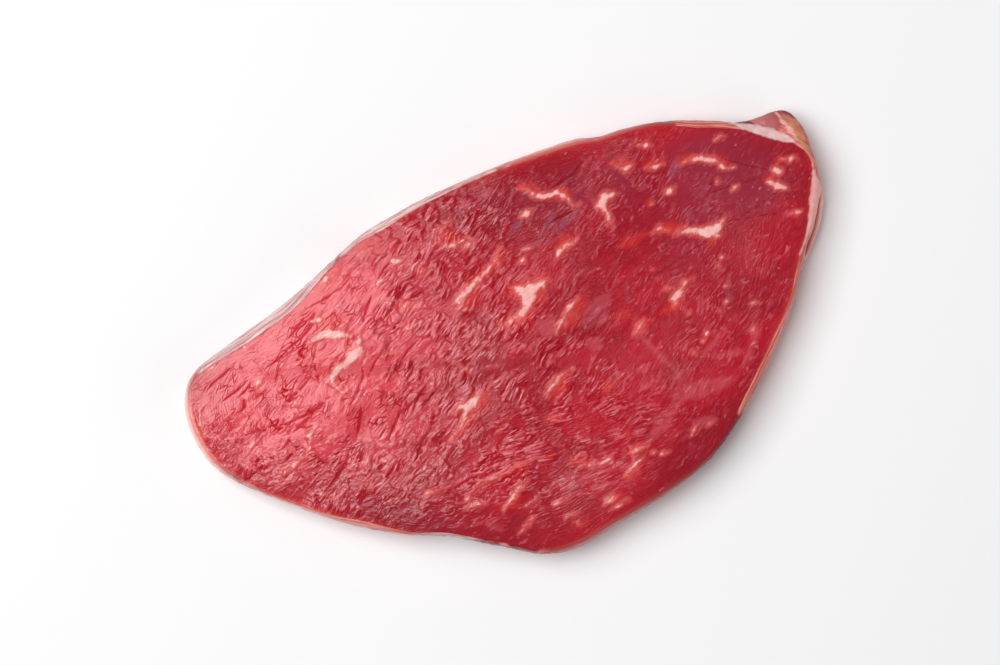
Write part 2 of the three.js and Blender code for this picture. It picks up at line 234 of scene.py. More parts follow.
# Marbling: each fleck of fat is a short line of points, X, Y and half width, as it lies in the face.
MARBLING = [
    # The star in the middle, and the long streak beside it.
    [(13, 31, 0.8), (11.5, 27, 2.6), (9.5, 24, 2.9), (8, 21, 1.8), (3, 18, 1.2), (-6, 17, 0.7)],
    [(10.5, 25.5, 2.4), (5, 30.5, 0.9)], [(10.5, 25, 2.4), (16, 26.5, 1.6), (20, 27.5, 0.7)],
    [(-22, 32.5, 0.5), (-18, 34.5, 1.4), (-15, 36.3, 1.6), (-11, 37.6, 1), (-8, 38.5, 0.7),
     (-3, 41, 0.8), (0, 42, 0.6), (4, 44, 0.6), (7, 48, 0.3)],
    [(14, 5, 0.7), (17, 8, 1), (20, 10, 0.9), (24, 13, 0.9), (28, 14.5, 0.4)],
    [(-46, -18.5, 0.3), (-39, -15, 0.6), (-36, -12, 0.8), (-33, -8.6, 1.6), (-30, -7.5, 1.9),
     (-26.5, -6, 1.3), (-24, -5, 0.4)],
    [(-31, -8, 1.2), (-35, -7, 0.6), (-39, -7.5, 0.3)],
    [(-1, -18, 0.8), (2, -15, 1), (7, -12.5, 0.7), (14, -11.5, 0.3)],
    # The hook at the left.
    [(-84, 43, 0.6), (-77, 44.7, 1.6), (-73, 43.5, 1.9), (-69, 41.5, 1.6), (-65, 38.5, 0.8)],
    [(-61.5, 39.5, 0.7), (-63.5, 35.5, 1.5), (-65, 32.5, 2.1), (-68, 31, 2.1), (-72, 29.2, 1.5),
     (-77, 28.5, 1.3), (-80, 26, 1.2), (-81, 24, 0.9), (-78.5, 18.5, 0.7)],
    [(-79, 52, 0.5), (-75, 51, 0.9), (-73, 50.5, 0.4)],
    [(-132, 39, 0.3), (-137, 37, 0.5), (-139.5, 31, 0.4), (-140, 26, 0.4), (-138, 24, 0.3)],
    [(-106, 39, 0.7), (-109, 37.5, 1), (-112, 35.5, 0.4)], [(-110, 54, 0.7), (-108, 52.5, 0.5)],
    [(-94, 55, 0.7), (-95, 53, 0.5)], [(-126, 50.7, 0.5), (-123, 52, 0.6)],
    [(-99, 23, 0.6), (-98, 23.5, 0.6)], [(-125, 13.5, 0.4), (-120, 15, 0.5)],
    [(-101, 9, 0.5), (-99, 8, 0.8), (-95, 9.5, 0.5)], [(-99, 7, 0.8), (-101, 2.5, 0.5)],
    [(-103, 1, 0.4), (-110, -1, 0.4), (-114.5, -2, 0.6), (-119.5, -5, 0.3)],
    [(-78, -10, 0.8), (-84, -13.5, 0.5)], [(-74.5, -14.9, 0.6), (-73, -14.5, 0.6)],
    [(-76, 11.5, 0.4), (-71, 12.5, 0.5)], [(-102, -19, 0.5), (-100, -19, 0.5)],
    # Towards the upper edge, left of the middle.
    [(-68, 65, 0.9), (-65.5, 65.6, 1.3), (-63, 65.5, 0.6)], [(-47, 69.5, 0.5), (-41, 69.5, 0.7)],
    [(-48, 54.5, 0.5), (-43, 55.5, 0.7)], [(-38, 61, 0.9), (-35, 60.3, 1.1), (-32, 60, 0.5)],
    [(-28, 51.3, 0.5), (-25, 51.5, 0.6)], [(-49, 48.3, 0.5), (-47, 48.7, 0.5)],
    [(-41, 41.5, 0.4), (-38, 41, 0.5)], [(-36, 39, 0.5), (-33, 39, 0.6)],
    [(-43, 32.2, 0.4), (-38, 32.5, 0.6)], [(-53, 26, 0.7), (-50, 25, 1)],
    [(-24, 25, 0.5), (-22, 24.5, 0.4)], [(-16, 60, 0.5), (-14, 58, 0.8), (-10, 56, 0.7), (-4, 57, 0.4)],
    [(-17, 64.5, 0.4), (-7, 67, 0.4)], [(-9, 53.5, 0.5), (-2, 55, 0.4)],
    # The upper right: flecks that slope a little down to the right.
    [(20, 56, 0.7), (23, 56.3, 1.1), (26, 57, 0.5)],
    [(24, 67.5, 0.4), (28, 65, 0.8), (29, 62.5, 0.9), (32, 60, 1), (35, 59.5, 1.1), (38, 59.5, 0.8),
     (40, 57, 0.8), (42, 54, 0.7), (42.5, 51, 0.7), (46, 50.5, 0.4)],
    [(51, 47.5, 1.5), (53, 46.5, 1.9), (56, 49.3, 1.5), (59, 49, 1.1), (61, 48, 0.5)],
    [(54, 46, 1.2), (54.3, 41, 0.6), (53.5, 38.5, 0.9), (52, 37.5, 0.5)],
    [(15, 43, 0.5), (19, 42.5, 0.5)], [(12.5, 38.5, 0.6), (15, 39, 0.5)],
    [(26, 33.5, 0.6), (30, 36, 0.9), (34, 37, 0.7), (39, 37.5, 0.4)],
    [(66, 58.5, 0.5), (69, 56.5, 1), (73, 57, 0.6)], [(78, 63.7, 0.5), (81, 62, 0.6), (83, 61, 0.4)],
    [(77, 53, 0.5), (80, 52.5, 0.8), (84, 51.8, 0.5)],
    [(91, 48, 0.4), (93, 49, 0.5), (97, 48.5, 0.6), (100, 47.3, 0.9), (102, 46, 1), (105, 44.5, 0.6),
     (106, 43, 0.5), (106.3, 40.5, 0.8), (108, 39.5, 0.7), (111, 38.5, 0.4)],
    [(108, 52.5, 0.4), (111, 53, 0.6), (113, 52, 0.4)], [(80, 40, 0.8), (82.5, 40.6, 1), (85, 41, 0.5)],
    [(72.5, 38.3, 0.5), (74, 38.6, 0.4)], [(106, 30, 0.6), (110, 30.7, 0.5)],
    [(101.5, 35.6, 0.4), (103, 36, 0.4)], [(125.5, 32, 1.3), (127, 30, 1.6), (126, 28.6, 0.8)],
    [(121, 28, 0.5), (123, 26, 0.9), (124.5, 24, 1.4), (127, 22, 1.3), (128.5, 20.3, 0.5)],
    [(131, 33.5, 0.8), (134, 32, 0.5), (137.3, 31.3, 0.4)],
    # The big patch at the right, with its tail.
    [(68, 26.5, 0.5), (72, 28, 0.7), (75, 25, 0.6)],
    [(76, 22.5, 0.6), (79, 23.2, 1.1), (82, 22.3, 1.2), (85, 21, 1.4), (88, 19.2, 2), (91.5, 17.8, 2.6),
     (94.5, 18.2, 2.3), (97, 19.6, 1.2), (98, 20.6, 0.5)],
    [(92, 16, 1.5), (94, 14.6, 0.6)], [(123.5, 11.4, 0.4), (127, 10.5, 0.7), (130, 9.8, 0.4)],
    [(61.5, 13, 0.5), (62.5, 13, 0.5)], [(62, 9.2, 0.6), (62.2, 8.8, 0.6)],
    [(63, 3, 0.4), (66, 3, 0.5)], [(87, 3, 0.4), (89, 4, 0.5)], [(90.5, 6, 0.4), (91.5, 6, 0.4)],
    [(64, -5, 1), (65.5, -2.5, 1.8), (67, -0.5, 1.5), (69, 0.3, 0.9), (72, 2, 0.8), (76, 3, 0.4)],
    [(43, -9, 0.5), (47, -7, 0.8), (50, -5, 0.5)], [(68.5, -10, 0.5), (69.5, -10, 0.5)],
    [(87, -6, 0.5), (88, -6, 0.5)], [(84.5, -12.3, 0.5), (86, -12, 0.5)],
    [(80.5, -14.5, 0.5), (81.5, -14.5, 0.5)], [(94, -17, 0.5), (97, -18, 0.4)],
    [(71, -20.5, 0.6), (73, -20.5, 0.5)], [(68.5, -23, 0.5), (69.5, -23, 0.5)],
    [(63, -26, 0.5), (65, -25.5, 0.6)], [(89, -27.5, 0.7), (92, -27.5, 0.9)],
    [(88, -32.5, 0.5), (89, -32.5, 0.5)],
    # The lower edge.
    [(1, -50.5, 0.6), (6, -52, 0.5)], [(8, -53, 0.4), (14, -52.5, 0.6)],
    [(22.5, -53.8, 0.6), (27, -53.6, 0.9), (30, -53.8, 0.5)],
    [(15.5, -62, 0.5), (19, -60.5, 0.8), (22, -59, 0.8), (26, -58, 0.4)],
    [(30.5, -57.5, 0.6), (31.5, -57.5, 0.6)], [(33.5, -59.5, 0.5), (37, -60, 0.7)],
    [(48.5, -57.5, 0.4), (52, -55, 0.6)], [(56, -57, 0.4), (59, -56, 0.5)],
    [(3, -69.5, 0.5), (6, -68.3, 0.9), (9, -67.5, 0.5)], [(-16, -60.5, 0.4), (-10, -60.5, 0.4)],
    [(-14, -67.5, 0.4), (-9, -67.5, 0.4)], [(-10.5, -72, 0.5), (-9.5, -72, 0.5)],
    [(5, -72.5, 0.4), (14, -71, 0.4)], [(-49.5, -43.8, 0.8), (-47.5, -43.2, 0.6)],
    [(-51, -46.5, 0.4), (-45, -47.5, 0.5), (-42, -48.5, 0.3)],
    [(-37, -54, 0.4), (-30, -50, 0.6), (-27, -48, 0.6), (-22, -46.5, 0.4)],
    [(-44, -40.5, 0.3), (-36, -40, 0.4), (-27, -39, 0.4)], [(-24, -39, 0.4), (-18, -39.5, 0.4)],
    [(-64, -34, 0.4), (-60, -35.5, 0.4)], [(-25.5, -23, 0.4), (-24.5, -23, 0.4)],
    [(-35, -66, 0.3), (-30, -64, 0.4), (-26, -62, 0.3)], [(-27, -56, 0.3), (-20, -55.5, 0.4)],
    [(-29, 10, 0.3), (-26, 5, 0.4)], [(-41, 14.5, 0.5), (-40, 14.5, 0.5)],
]
# Where the fat is thin over red meat, or soaked with it, it glows salmon and orange-red.
GLOW = [
    # Round the star and the long streak.
    [(1.5, 29, 1.2), (6, 28.5, 2.6), (10, 30.5, 1)],
    [(-7, 18, 0.8), (-1, 17, 2), (5, 17, 2.4), (10, 19, 1.8)], [(12, 20, 1.6), (17, 22.5, 1)],
    [(14, 30, 1), (20, 29.5, 0.8)], [(-20, 32, 1.2), (-15, 32.5, 2), (-8, 33.5, 1)],
    [(-13, 38.8, 0.8), (-5, 40.5, 1.2)], [(0, 41, 1), (6, 45, 1.6), (7, 48, 0.8)],
    [(18, 5, 2), (23, 8, 2.4), (28, 12, 1.6), (33, 15, 0.8)],
    [(-40, -17.5, 1), (-34, -13, 1.4), (-26, -8, 2.2), (-22, -5, 1.2)],
    [(-48, -18, 0.8), (-41, -17, 1.2)], [(0, -19, 1.4), (6, -16, 2.6), (12, -13, 1.8)],
    [(-4, -47, 1), (2, -48.5, 1.6), (7, -50.5, 0.8)], [(-6, -27, 1), (2, -26.5, 1.4)],
    [(22, -25, 1.4), (27, -24, 1)], [(24, -46.5, 1), (25, -45, 1.2)],
    # Above and inside the hook.
    [(-77, 46.5, 1.8), (-70, 47, 2.6), (-65, 43.5, 1.4)], [(-78, 54, 1.6), (-73, 54, 1.2)],
    [(-81, 28, 1.2), (-83, 30, 1)], [(-69, 65, 1.2), (-61, 65, 2), (-54, 68, 1.4)],
    [(-49, 72, 1.2), (-40, 71.5, 1.4)], [(-54, 24.5, 1.6), (-50, 23, 1.2)],
    [(-96, 54, 1), (-94, 56.5, 0.9)], [(-112, 54.5, 1), (-108, 53.5, 1.2)],
    [(-130, 52.5, 1), (-122, 54, 1)], [(-16, 61.5, 1.2), (-11, 61, 2), (-6, 58, 1.2)],
    [(-8, 54.5, 1), (-2, 55.5, 0.9)], [(-30, 52, 0.9), (-25, 52, 1)], [(-43, 42, 1), (-38, 42, 1)],
    [(-42, 33, 0.9), (-38, 33.5, 0.9)], [(-35, 64, 1), (-33, 66, 0.8)], [(-26, 46.5, 1), (-22, 46, 1)],
    # The upper right and the right.
    [(25, 69, 1.2), (29, 65, 1.4), (33, 60.5, 1)], [(35, 58.5, 1.6), (41, 57.5, 2.2), (42, 59.5, 1.4)],
    [(29, 38.5, 1.4), (34, 39.2, 1.8), (38, 38.3, 0.8)], [(40, 1, 1.2), (46, 0, 1.3)],
    [(45, -8, 1.6), (51, -6, 2)], [(58, -5, 1.4), (65, -4.7, 2.2), (68, -1, 1)],
    [(70, 28.4, 1.2), (75, 26.3, 2), (82, 24.3, 1)], [(88, 13.5, 0.8), (91, 14.5, 1.2)],
    [(121, 28.9, 1.4), (125, 27.9, 1.6)], [(127, 33, 1), (131, 33.5, 0.8)],
    [(64, 61, 1), (72, 59, 1.2)], [(77, 54.5, 1), (84, 54, 1.2)], [(90, 50, 1), (97, 50.5, 1.2)],
    [(104, 47, 1.2), (110, 41, 1)], [(53, 28, 1.2), (58, 27.5, 1), (66, 28, 0.8)],
    [(71, 38.5, 0.9), (73, 40, 0.8)],
    # The lower edge.
    [(15, -62.5, 1), (22, -62, 1.2)], [(22, -53.3, 1), (29, -53, 1.2)], [(5, -69, 1.4), (12, -68.5, 1)],
    [(-30, -40.5, 0.9), (-20, -39.8, 0.9)], [(-34, -54.5, 1), (-28, -51.5, 1.2)],
    [(-8, -41, 0.9), (-12, -42, 0.8)], [(-62, -34, 0.8), (-55, -36, 0.8)],
    [(-12, -73, 0.9), (-6, -72, 0.9)],
]
# Fine tears where the skin of dried juice has pulled apart, and seams between the muscle bundles, both
# painted a darker red as the shade in them.
TEARS = [
    [(-132, 42.5, 0.1), (-127, 45, 0.25), (-121, 46.5, 0.2), (-118, 48, 0.1)],
    [(-127, 36, 0.1), (-120, 37.6, 0.3), (-113, 40, 0.2)],
    [(-122, 34.3, 0.15), (-117, 35.8, 0.3), (-112, 38.6, 0.15)],
    [(-123, 28.4, 0.1), (-119, 30.2, 0.4), (-118, 33.5, 0.35)], [(-115, 31, 0.2), (-107, 32.6, 0.15)],
    [(-104, 41.5, 0.1), (-97, 43, 0.3), (-93, 44.4, 0.1)],
    [(-92, 45, 0.15), (-84, 47.4, 0.3), (-76, 51, 0.15)],
    [(-91, 48.7, 0.1), (-85, 51.6, 0.2), (-80, 54.6, 0.15)],
    [(-79, 57.5, 0.1), (-68, 58.2, 0.2), (-57, 60.8, 0.15)],
    [(-101, 24.4, 0.15), (-94, 27.6, 0.3), (-88, 30.5, 0.25), (-86, 34, 0.15), (-80, 42, 0.1)],
    [(-113, 18, 0.15), (-106, 16.4, 0.35), (-98, 16.5, 0.3), (-91, 17.2, 0.3), (-84, 19.4, 0.2)],
    [(-125, 19.2, 0.1), (-118, 18.5, 0.3), (-114, 17.3, 0.2)],
    [(-105, 12, 0.2), (-100, 13.4, 0.5), (-93, 15.8, 0.3)],
    [(-104, 15, 0.1), (-99, 11.8, 0.4), (-95, 11, 0.2)], [(-112, 7.4, 0.2), (-107, 9.3, 0.4)],
    [(-81, -1, 0.2), (-77.5, 4, 0.7), (-75, 8, 0.6), (-73, 11.5, 0.2)],
    [(-66, 20.5, 0.2), (-60, 25.5, 0.3), (-52, 30, 0.15)],
    [(-69, -7.3, 0.2), (-65, -3.4, 0.5), (-60, 1.3, 0.4), (-56, 7, 0.2)],
    [(-62, -20, 0.3), (-56, -13.4, 0.4), (-51, -10.4, 0.3), (-46, -5, 0.2)],
    [(-59, 42.4, 0.1), (-55, 46.7, 0.4), (-51, 51, 0.2)],
    [(-134, 1, 0.1), (-128, 2.5, 0.4), (-122, 4.5, 0.2)],
    [(-103, -16.5, 0.4), (-96, -13.2, 0.5), (-90, -9.2, 0.5), (-86, -5, 0.3)],
    [(-54, 18, 0.2), (-46, 24, 0.3), (-40, 26, 0.15)],
    [(-75, 14.5, 0.2), (-68, 21, 0.3), (-66, 27, 0.15)],
    # Seams at the right.
    [(93, 20.4, 0.1), (94.4, 18.6, 0.1)],
    [(98, 19, 0), (105, 17.5, 0.05), (113, 15.4, 0.05), (122, 12.8, 0)],
    [(99, 32.5, 0), (111, 31.2, 0.05), (119, 30, 0.1), (122, 28.4, 0)],
    [(109, 43, 0), (116, 37.5, 0.05), (124, 31.6, 0)], [(90, 38.6, 0), (101, 35.8, 0.05)],
    [(38, 61.8, 0.2), (48, 63.8, 0.5), (54, 67, 0.3)],
    [(30, 48.6, 0.15), (36, 49.4, 0.3), (46, 49.3, 0.2)], [(-69, 44.4, 0.2), (-68.4, 41.6, 0.3)],
]
# Soft strands of painted sheen, pale red where the juice film mirrors the lamp, and strands of purple, that
# lie over the red.
SHEEN_STREAKS_PAINTED = [
    [(10, 2, 2), (12, 10, 4), (12, 18, 2)], [(24, 3, 2), (32, 6, 4), (42, 11, 3)],
    [(24, -3, 3), (30, -9, 2)], [(-60, -38, 1.2), (-46, -33, 1.6), (-32, -28, 1.4), (-22, -20, 1)],
    [(-62, -6, 0.8), (-50, 1, 1.2), (-42, 8, 0.6)], [(-22, 4, 0.4), (-12, 3, 1), (-4, 12, 0.6)],
    [(-16, -53, 1.5), (-6, -54, 2.5), (4, -56, 1)], [(44, -38, 1.5), (60, -41, 3.5), (75, -43, 3)],
    [(30, -53, 1.5), (40, -47, 3), (52, -41, 1.5)], [(52, -53, 2), (62, -56, 2)],
    [(68, -30, 1), (84, -34, 2)], [(56, -33, 0.5), (70, -27, 0.8), (86, -19, 0.6)],
    [(46, -10, 1), (50, -22, 1), (55, -32, 0.8), (49, -40, 0.6)], [(80, -40, 1), (96, -26, 1)],
    [(-8, -21, 2), (-14, -14, 2)], [(-46, -56, 1), (-40, -62, 2)], [(2, -63, 0.8), (9, -60, 1)],
    [(60, 59, 0.4), (76, 64, 0.5)], [(44, 55, 0.3), (64, 66, 0.4)], [(50, 62, 0.3), (60, 68.6, 0.4)],
]
VEINS = [
    [(11, 50, 0.8), (18, 53.5, 1.2), (24, 57, 0.6)], [(21, 43, 0.6), (30, 49, 1.2), (35, 54, 0.8)],
    [(30, 44, 0.8), (38, 46.6, 1), (46, 49.6, 0.8)], [(38, 58.6, 0.5), (46, 63.4, 0.8), (53, 66, 0.5)],
    [(83, 43.5, 0.8), (88, 48, 1.8), (92, 53.5, 1.2)], [(85, 30.5, 1), (88, 22.5, 1)],
    [(106, 25, 0.8), (107.5, 22, 0.8)], [(124.5, 30, 0.8), (128, 32.5, 0.6)],
    [(126, 24, 0.5), (128, 19.5, 0.5)], [(93, -17, 0.8), (98, -18.5, 0.8)],
    [(86, -5.5, 0.5), (87, -11, 0.8), (83, -13.5, 0.5)], [(47, 5, 0.6), (50, 13, 1)],
    [(-8, -56.5, 1), (-2, -58, 1)], [(16, 42, 1), (20, 43, 0.8)], [(-72, 43, 0.4), (-68, 42, 0.5)],
    [(3, -69, 1), (8, -66, 0.8)],
]
# The band of fat that seams the side muscle to the slab, the cap of harder, yellower fat on its corner,
# the pale edge of that cap and the pale band below it, and the dark smooth end of the side muscle.
SEAM = [
    [(117, 57, 0.8), (122, 53, 1.4), (126, 50, 1.7), (131, 45.6, 1.9), (136, 41, 1.9), (139.6, 37.4, 1)],
]
CAP = [
    [(139.4, 51.4, 2), (140.8, 46.6, 2.4), (141.8, 41, 1.7), (142.6, 34, 1), (142.8, 27, 0.6)],
]
CAP_EDGE = [
    [(137.2, 53.8, 0.5), (138, 48.6, 0.7), (139.6, 43, 1), (140.6, 37.6, 0.7)],
    [(132, 44.6, 0.8), (137, 43.4, 1.2)],
    [(141.6, 26, 1.2), (140, 18, 2.2), (136.4, 12, 2), (133, 6.6, 1.3), (129, 1, 0.8), (121, -7, 0.5)],
]
FLAP = [
    [(117.5, 57.4, 0.5), (121, 55.6, 1.2), (125, 53.2, 0.9), (127.6, 50.6, 0.3)],
]

# From above, the face seems this much larger than the widest line, because it is nearer to the eye.
EYE_HEIGHT = 1180
FACE_HEIGHT = 20
WIDEST_HEIGHT = 8
LOOKS_LARGER = (EYE_HEIGHT - WIDEST_HEIGHT) / (EYE_HEIGHT - FACE_HEIGHT)
EYE_OVER = (-7.5, 15)
seen_x = EYE_OVER[0] + (points[:, 0] - EYE_OVER[0]) * LOOKS_LARGER
seen_y = EYE_OVER[1] + (points[:, 1] - EYE_OVER[1]) * LOOKS_LARGER


# How far each point lies outside lines of fat or film, in millimetres; negative within them. Each line
# tapers to its ends, and where two meet, the corner between them is filled as a drawn-out web is.
def outside(lines, web=0.35, far=6):
    total = np.full(len(points), np.exp(-far / web))
    for line in lines:
        steps = [np.hypot(b[0] - a[0], b[1] - a[1]) for a, b in zip(line, line[1:])]
        ends = np.concatenate([[0], np.cumsum(steps)]) / sum(steps)
        for (x0, y0, w0), (x1, y1, w1), t0, t1 in zip(line, line[1:], ends, ends[1:]):
            near = (np.abs(seen_x - (x0 + x1) / 2) < abs(x1 - x0) / 2 + far) & \
                   (np.abs(seen_y - (y0 + y1) / 2) < abs(y1 - y0) / 2 + far)
            distance, share = distance_to_line(seen_x[near], seen_y[near], (x0, y0), (x1, y1))
            taper = 1 - np.abs(2 * mix(t0, t1, share) - 1) ** 3
            total[near] += np.exp((mix(w0, w1, share) * taper - distance) / web)
    return -web * np.log(total)


# Soft patches of the cut face: X, Y, half sizes along and across, turn in degrees, and strength.
def patches(spots):
    total = np.zeros(len(points))
    for x, y, along, across, turn, strength in spots:
        c, s = cos(radians(turn)), sin(radians(turn))
        u = ((points[:, 0] - x) * c + (points[:, 1] - y) * s) / along
        v = ((points[:, 1] - y) * c - (points[:, 0] - x) * s) / across
        total += strength * np.exp(-u * u - v * v)
    return total


# Creased, torn and wet parts, parts with painted sheen, darker and purple parts, and the rim, where painted
# light stands for light let through it. The juice has dried off to a share of its film outside the wet
# parts.
CREASED = [
    (-30, 30, 34, 44, 0, 1.2), (-24, -18, 44, 28, 10, 1.1), (10, -42, 46, 24, 10, 0.6),
    (-10, 66, 26, 12, 0, 0.8), (-110, -2, 34, 14, -25, 1.1), (-84, -22, 26, 16, -30, 1.1),
    (-98, 24, 40, 28, 0, 0.3), (0, 8, 22, 16, 30, 0.6), (80, -4, 50, 46, 0, 0.35),
    (60, 50, 50, 22, 0, 0.3),
]
TORN = [
    (-105, 26, 44, 34, 0, 1), (-66, 14, 32, 40, 0, 0.8), (-62, 50, 24, 16, 20, 0.6),
]
DAMP = 0.22
WET = [
    (-110, 25, 75, 70, 0, 0.8), (-56, -16, 44, 34, 0, 0.35), (-40, 26, 34, 40, 0, 0.35),
    (-18, -62, 34, 16, 0, 0.5), (-3, 62, 30, 14, 0, 0.3),
]
# Painted sheen: a pale red laid where the juice film mirrors the softbox, mostly over the left third.
PAINTED_SHEEN = [
    (-104, 30, 44, 36, 0, 1), (-66, 52, 30, 18, 20, 0.8), (-66, 6, 34, 34, 0, 0.4),
    (-36, 34, 26, 34, 0, 0.35),
]
DARK = [
    (20, 66, 34, 12, 0, 0.9), (50, -64, 40, 12, 22, 0.9), (-80, -38, 34, 9, -38, 0.9),
    (120, 34, 22, 26, 0, 0.5), (84, 6, 16, 22, 0, 0.4), (30, 52, 30, 14, 30, 0.6),
    (60, 20, 24, 18, 0, 0.3), (-20, -66, 40, 10, -10, 0.5), (96, 44, 22, 12, -10, 0.4),
    (70, 50, 20, 14, 0, 0.4),
]
PURPLE = [
    (104, 40, 26, 12, -12, 0.9), (100, 54, 16, 7, -10, 0.6), (60, 50, 12, 14, -30, 0.5),
    (88, 28, 14, 10, 0, 0.6), (40, 52, 20, 8, 35, 0.6), (116, 22, 14, 12, 0, 0.6),
    (30, 0, 14, 9, 20, 0.3), (76, 14, 14, 16, 0, 0.4), (-66, -46, 24, 6, -35, 0.4),
    (100, -8, 20, 20, 0, 0.3),
]
# Painted rim light: patches where the rim of the face and the side wall are painted paler and more orange,
# as light shone through and onto them.
PAINTED_RIM_LIGHT = [
    (48, 77, 52, 9, -7, 0.6), (-144, 28, 12, 26, 0, 1.2), (-112, -24, 34, 8, -42, 0.9),
    (-30, 79, 20, 7, 6, 0.4), (112, -22, 30, 9, 48, 0.6), (0, -80, 60, 7, 4, 0.3),
    (128, 50, 12, 8, -40, 0.2), (138, 10, 10, 18, -30, 0.7),
]
# How far the folds are turned from the lie of the grain, in radians.
FOLDS_TURN = [
    (-14, 62, 22, 16, 0, 0.9), (-30, -50, 64, 22, 0, -0.5), (-15, -24, 20, 10, 0, -0.3),
    (0, 8, 20, 14, 0, 0.4), (24, -42, 30, 18, 0, -0.3), (-106, 0, 28, 14, 0, -0.35),
    (70, 55, 30, 20, 0, 0.15),
]

ROUND_THE_SIDE = 740
fields = {
    "from_rim": from_rim, "down": down_side, "way": way * ROUND_THE_SIDE,
    "fat": covering[:, 0], "silver_skin": covering[:, 1],
    "marbling": outside(MARBLING, web=0.45), "glow": outside(GLOW, web=0.8),
    "tear": outside(TEARS, web=0.15), "sheen_streaks_painted": outside(SHEEN_STREAKS_PAINTED, web=0.8), "vein": outside(VEINS, web=0.8),
    "seam": outside(SEAM), "cap": outside(CAP), "cap_edge": outside(CAP_EDGE), "flap": outside(FLAP),
    "creased": np.clip(patches(CREASED), 0, 1), "torn": np.clip(patches(TORN), 0, 1),
    "wet": np.clip(DAMP + patches(WET), 0, 1), "painted_sheen": np.clip(patches(PAINTED_SHEEN), 0, 1),
    "dark": np.clip(patches(DARK), 0, 1), "purple": np.clip(patches(PURPLE), 0, 1),
    "painted_rim_light": np.clip(patches(PAINTED_RIM_LIGHT), 0, 1), "folds_turn": patches(FOLDS_TURN),
    "soft": 1 - smooth(down_side, 0.8, 1),
}
mesh = bpy.data.meshes.new("steak")
mesh.from_pydata((points - [*middle, 0]) * MM, [], faces)
for name, values in fields.items():
    mesh.attributes.new(name, "FLOAT", "POINT").data.foreach_set("value", values.astype(np.float32))
mesh.polygons.foreach_set("use_smooth", np.ones(len(faces), bool))
steak = bpy.data.objects.new("steak_flesh", mesh)
bpy.context.collection.objects.link(steak)


# Adds a node, with its own settings and with what its sockets hold: a value, a socket or a node.
def node(tree, kind, sockets=(), **settings):
    made = tree.nodes.new(kind)
    for name, value in settings.items():
        setattr(made, name, value)
    for key, value in dict(sockets).items():
        if isinstance(value, bpy.types.Node):
            value = value.outputs[0]
        if isinstance(value, bpy.types.NodeSocket):
            tree.links.new(value, made.inputs[key])
        else:
            made.inputs[key].default_value = value
    return made


# The relief of the cut face. Soft muscle bundles stand out as lumps, the skin of the face has
# puckered into folds, and it has torn where it was stretched. The fat at the side is ragged.
relief = bpy.data.node_groups.new("muscle_relief", "GeometryNodeTree")
relief.interface.new_socket("Geometry", in_out="OUTPUT", socket_type="NodeSocketGeometry")
relief.interface.new_socket("Geometry", in_out="INPUT", socket_type="NodeSocketGeometry")
RELIEF = {  # metres
    "Lump Size": 11 * MM, "Lump Depth": 0.42 * MM, "Fold Spacing": 3.2 * MM, "Fold Depth": 0.34 * MM,
    "Tear Spacing": 5.5 * MM, "Tear Width": 1.0 * MM, "Tear Depth": 0.12 * MM,
    "Rag Size": 5 * MM, "Rag Depth": 1.3 * MM, "Film Rise": 0.35 * MM,
}
sockets = {}
for name in RELIEF:
    made = relief.interface.new_socket(name, in_out="INPUT", socket_type="NodeSocketFloat")
    sockets[name] = made.identifier
made = relief.interface.new_socket("Material", in_out="INPUT", socket_type="NodeSocketMaterial")
sockets["Material"] = made.identifier
given = node(relief, "NodeGroupInput")
given = {socket.name: socket for socket in given.outputs if socket.name}
laid = {}
for name in fields:
    laid[name] = node(relief, "GeometryNodeInputNamedAttribute", {"Name": name}, data_type="FLOAT")
position = node(relief, "GeometryNodeInputPosition")

# The grain of the muscle runs at about 25 degrees across the face: patterns are drawn out along it. They
# are also bent, by up to a few millimetres, because nothing in soft meat is straight.
GRAIN = radians(25)
DRAWN_OUT = (0.45, 1, 1)
BEND = 6
BEND_SIZE = 9
drift = node(relief, "ShaderNodeTexNoise", {
    "Vector": position, "Scale": 1 / (BEND_SIZE * MM), "Detail": 3.0})
drift = node(relief, "ShaderNodeVectorMath", {
    0: drift.outputs["Color"], 1: (0.5, 0.5, 0.5)}, operation="SUBTRACT")
drifting = node(relief, "ShaderNodeVectorMath", {
    0: drift, 1: (BEND * MM,) * 3, 2: position}, operation="MULTIPLY_ADD")
grained = node(relief, "ShaderNodeVectorRotate", {
    "Vector": drifting, "Angle": -GRAIN}, rotation_type="Z_AXIS")
grained = node(relief, "ShaderNodeVectorMath", {0: grained, 1: DRAWN_OUT}, operation="MULTIPLY")

scale = node(relief, "ShaderNodeMath", {0: 1.0, 1: given["Lump Size"]}, operation="DIVIDE")
lumps = node(relief, "ShaderNodeTexNoise", {"Vector": grained, "Scale": scale, "Detail": 1.0})
lumps = node(relief, "ShaderNodeMath", {0: lumps.outputs[0], 1: 0.5}, operation="SUBTRACT")
lumps = node(relief, "ShaderNodeMath", {0: lumps, 1: given["Lump Depth"]}, operation="MULTIPLY")

# Folds: stripes whose lie wanders, and which come and go.
lie = node(relief, "ShaderNodeTexNoise", {"Vector": position, "Scale": 1 / (16 * MM), "Detail": 1.0})
lie = node(relief, "ShaderNodeMapRange", {
    "Value": lie.outputs[0], "From Min": 0.3, "From Max": 0.7,
    "To Min": GRAIN + pi / 2 - 0.6, "To Max": GRAIN + pi / 2 + 0.6})
lie = node(relief, "ShaderNodeMath", {0: lie, 1: laid["folds_turn"]}, operation="ADD")
scale = node(relief, "ShaderNodeMath", {0: 0.5, 1: given["Fold Spacing"]}, operation="DIVIDE")
folds = node(relief, "ShaderNodeTexGabor", {
    "Vector": drifting, "Scale": scale, "Frequency": 2.0, "Anisotropy": 1.0, 4: lie}, gabor_type="2D")
folds = node(relief, "ShaderNodeMath", {0: folds.outputs["Value"], 1: 0.5}, operation="SUBTRACT")
folds = node(relief, "ShaderNodeMath", {0: folds, 1: laid["creased"]}, operation="MULTIPLY")

